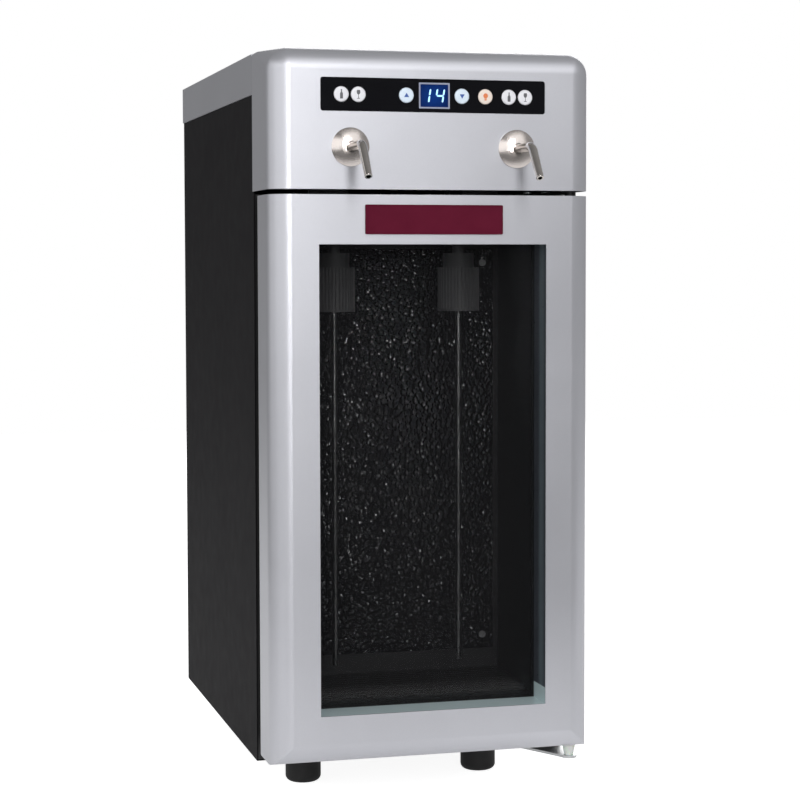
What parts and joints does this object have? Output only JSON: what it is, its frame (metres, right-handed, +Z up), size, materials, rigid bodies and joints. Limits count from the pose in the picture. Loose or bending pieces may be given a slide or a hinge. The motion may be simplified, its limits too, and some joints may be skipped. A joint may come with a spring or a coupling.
{
  "type": "wine preservation dispenser",
  "caption": "Table-top cabinet that keeps opened wine under gas behind a chilled glass door and pours it through bent spouts at the press of a button.",
  "frame": {"origin": "on the floor under the middle of the whole outline, from the spouts' tips to the gas inlet behind the rear panel", "axes": "+X to the viewer's right, +Y from the door to the back, +Z up"},
  "size_m": [0.262, 0.4938, 0.604],
  "materials": {
    "case_paint": "black powder coat, satin",
    "silver_paint": "silver metallic paint, satin",
    "bare_aluminium": "mill finish",
    "black_plastic": "fine matte grain",
    "foam": "cut foam",
    "black_rubber": "matte",
    "embossed_aluminium": "stucco embossed",
    "ceramic": "smooth ceramic",
    "white_plastic": "diffusing",
    "trim_aluminium": "satin",
    "display_glass": "glossy, blue ground",
    "circuit_board": "solder mask",
    "dispense_button": "pale grey with a dark icon",
    "temperature_button": "pale blue with a blue arrow",
    "light_button": "cream with an orange icon",
    "brushed_nickel": "brushed, warm",
    "valve_plastic": "moulded",
    "tube_plastic": "smooth hose",
    "brass": "turned",
    "zinc_steel": "zinc-plated",
    "stainless": "drawn",
    "door_glass": "tinted",
    "badge_enamel": "burgundy enamel, plain",
    "nylon": "translucent"
  },
  "bodies": {
    "case": {"outer_case": "case_paint", "top_cover": "silver_paint", "rear_panel": "case_paint", "top_deck": "bare_aluminium", "compartment_liner": "black_plastic", "insulation": "foam", "floor_mat": "black_rubber", "cold_plate": "embossed_aluminium", "cold_block": "bare_aluminium", "cooling_module": "ceramic", "hot_sink": "bare_aluminium", "fan_frame": "black_plastic", "light_strip": "white_plastic", "head_cover": "silver_paint", "head_floor": "black_plastic", "control_fascia": "black_plastic", "display_frame": "trim_aluminium", "display_lens": "display_glass", "control_board": "circuit_board", "left_rosette": "brushed_nickel", "right_rosette": "brushed_nickel", "left_spout": "brushed_nickel", "right_spout": "brushed_nickel", "left_valve": "valve_plastic", "right_valve": "valve_plastic", "wine_tubes": "tube_plastic", "gas_tubes": "tube_plastic", "gas_manifold": "bare_aluminium", "gas_inlet": "brass", "power_supply": "zinc_steel", "mains_inlet": "black_plastic", "left_dock": "black_plastic", "right_dock": "black_plastic", "upper_hinge": "black_plastic", "lower_hinge": "zinc_steel", "hinge_bushing": "nylon", "feet": "black_rubber", "fasteners": "zinc_steel"},
    "door": {"door_frame": "silver_paint", "window_trim": "trim_aluminium", "door_inner_frame": "black_plastic", "outer_glass": "door_glass", "inner_glass": "door_glass", "glass_spacer": "black_plastic", "door_gasket": "black_rubber", "badge_plate": "badge_enamel"},
    "fan": {"fan_rotor": "black_plastic"},
    "left_dispensing_head": {"left_head": "black_plastic", "left_seal": "black_rubber", "left_draw_tube": "stainless"},
    "right_dispensing_head": {"right_head": "black_plastic", "right_seal": "black_rubber", "right_draw_tube": "stainless"},
    "left_bottle_button": {"left_bottle_button": "dispense_button"},
    "left_glass_button": {"left_glass_button": "dispense_button"},
    "temperature_up_button": {"temperature_up_button": "temperature_button"},
    "temperature_down_button": {"temperature_down_button": "temperature_button"},
    "light_button": {"light_button": "light_button"},
    "right_bottle_button": {"right_bottle_button": "dispense_button"},
    "right_glass_button": {"right_glass_button": "dispense_button"}
  },
  "joints": [
    {"name": "door_hinge", "type": "hinge", "parent": "case", "child": "door", "pos_m": [0.121, -0.1632, 0.268], "axis": [0, 0, 1], "range_deg": [0, 105]},
    {"name": "fan_spin", "type": "hinge", "parent": "case", "child": "fan", "pos_m": [0, 0.0746, 0.3], "axis": [0, 1, 0], "continuous": true},
    {"name": "left_head_plug", "type": "slide", "parent": "case", "child": "left_dispensing_head", "axis": [0, 0, -1], "range_m": [0, 0.012]},
    {"name": "right_head_plug", "type": "slide", "parent": "case", "child": "right_dispensing_head", "axis": [0, 0, -1], "range_m": [0, 0.012]},
    {"name": "left_bottle_press", "type": "slide", "parent": "case", "child": "left_bottle_button", "axis": [0, 1, 0], "range_m": [0, 0.0008], "stiffness_N_per_m": 1500, "springref_m": -0.0002},
    {"name": "left_glass_press", "type": "slide", "parent": "case", "child": "left_glass_button", "axis": [0, 1, 0], "range_m": [0, 0.0008], "stiffness_N_per_m": 1500, "springref_m": -0.0002},
    {"name": "temperature_up_press", "type": "slide", "parent": "case", "child": "temperature_up_button", "axis": [0, 1, 0], "range_m": [0, 0.0008], "stiffness_N_per_m": 1500, "springref_m": -0.0002},
    {"name": "temperature_down_press", "type": "slide", "parent": "case", "child": "temperature_down_button", "axis": [0, 1, 0], "range_m": [0, 0.0008], "stiffness_N_per_m": 1500, "springref_m": -0.0002},
    {"name": "light_press", "type": "slide", "parent": "case", "child": "light_button", "axis": [0, 1, 0], "range_m": [0, 0.0008], "stiffness_N_per_m": 1500, "springref_m": -0.0002},
    {"name": "right_bottle_press", "type": "slide", "parent": "case", "child": "right_bottle_button", "axis": [0, 1, 0], "range_m": [0, 0.0008], "stiffness_N_per_m": 1500, "springref_m": -0.0002},
    {"name": "right_glass_press", "type": "slide", "parent": "case", "child": "right_glass_button", "axis": [0, 1, 0], "range_m": [0, 0.0008], "stiffness_N_per_m": 1500, "springref_m": -0.0002}
  ]
}
